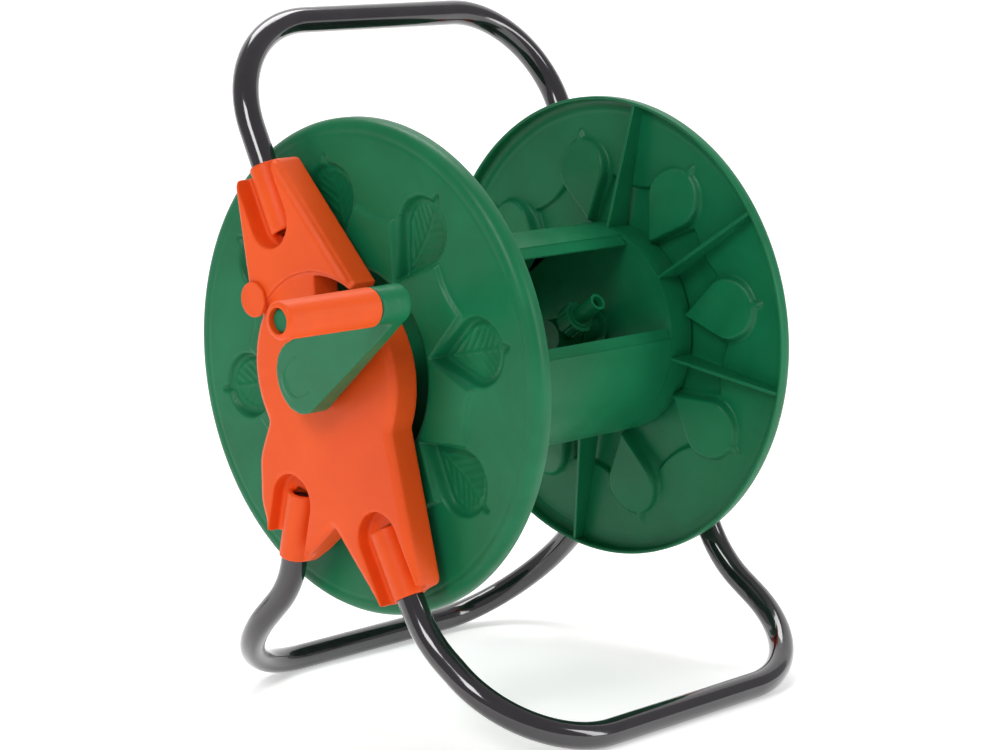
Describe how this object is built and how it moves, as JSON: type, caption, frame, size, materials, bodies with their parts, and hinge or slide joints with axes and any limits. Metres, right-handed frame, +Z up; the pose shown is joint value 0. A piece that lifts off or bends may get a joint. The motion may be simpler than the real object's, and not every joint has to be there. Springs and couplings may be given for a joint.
{
  "type": "garden hose reel",
  "caption": "Hand-cranked garden hose reel: a leaf-pocketed drum turning between side plates that join bent-tube legs and a carry handle.",
  "frame": {"origin": "middle of the bounding box on the floor, under the reel", "axes": "+X along the reel axis from the crank side to the water inlet side, +Y to the rear (the way the handle leans), +Z up"},
  "size_m": [0.49, 0.3634, 0.5],
  "materials": {
    "tube_paint": "gloss black powder coat on steel tube",
    "orange_plastic": "satin moulded polypropylene",
    "green_plastic": "satin moulded polypropylene",
    "steel": "plain zinc-plated steel",
    "acetal": "natural acetal washer",
    "rubber_seal": "matt rubber",
    "black_plastic": "matt moulded plastic"
  },
  "bodies": {
    "frame": {"handle_tube": "tube_paint", "front_leg_tube": "tube_paint", "rear_leg_tube": "tube_paint", "crank_side_plate": "orange_plastic", "inlet_side_plate": "orange_plastic", "crank_thrust_washer": "acetal", "inlet_thrust_washer": "acetal", "inlet_coupling": "black_plastic", "coupling_screws": "steel"},
    "reel": {"crank_flange": "green_plastic", "inlet_flange": "green_plastic", "front_stave": "green_plastic", "rear_stave": "green_plastic", "crank_arm": "green_plastic", "water_axle": "green_plastic", "hose_elbow": "green_plastic", "hose_nut": "green_plastic", "axle_o_rings": "rubber_seal"},
    "grip": {"grip_sleeve": "orange_plastic"},
    "brake": {"brake_knob": "orange_plastic", "brake_clip": "steel"}
  },
  "joints": [
    {"name": "reel_spin", "type": "hinge", "parent": "frame", "child": "reel", "pos_m": [0, 0.00675, 0.2505], "axis": [1, 0, 0], "continuous": true},
    {"name": "grip_spin", "type": "hinge", "parent": "reel", "child": "grip", "pos_m": [-0.206, -0.10519, 0.31153], "axis": [1, 0, 0], "continuous": true},
    {"name": "brake_pull", "type": "slide", "parent": "frame", "child": "brake", "axis": [-1, 0, 0], "range_m": [0, 0.006]}
  ]
}
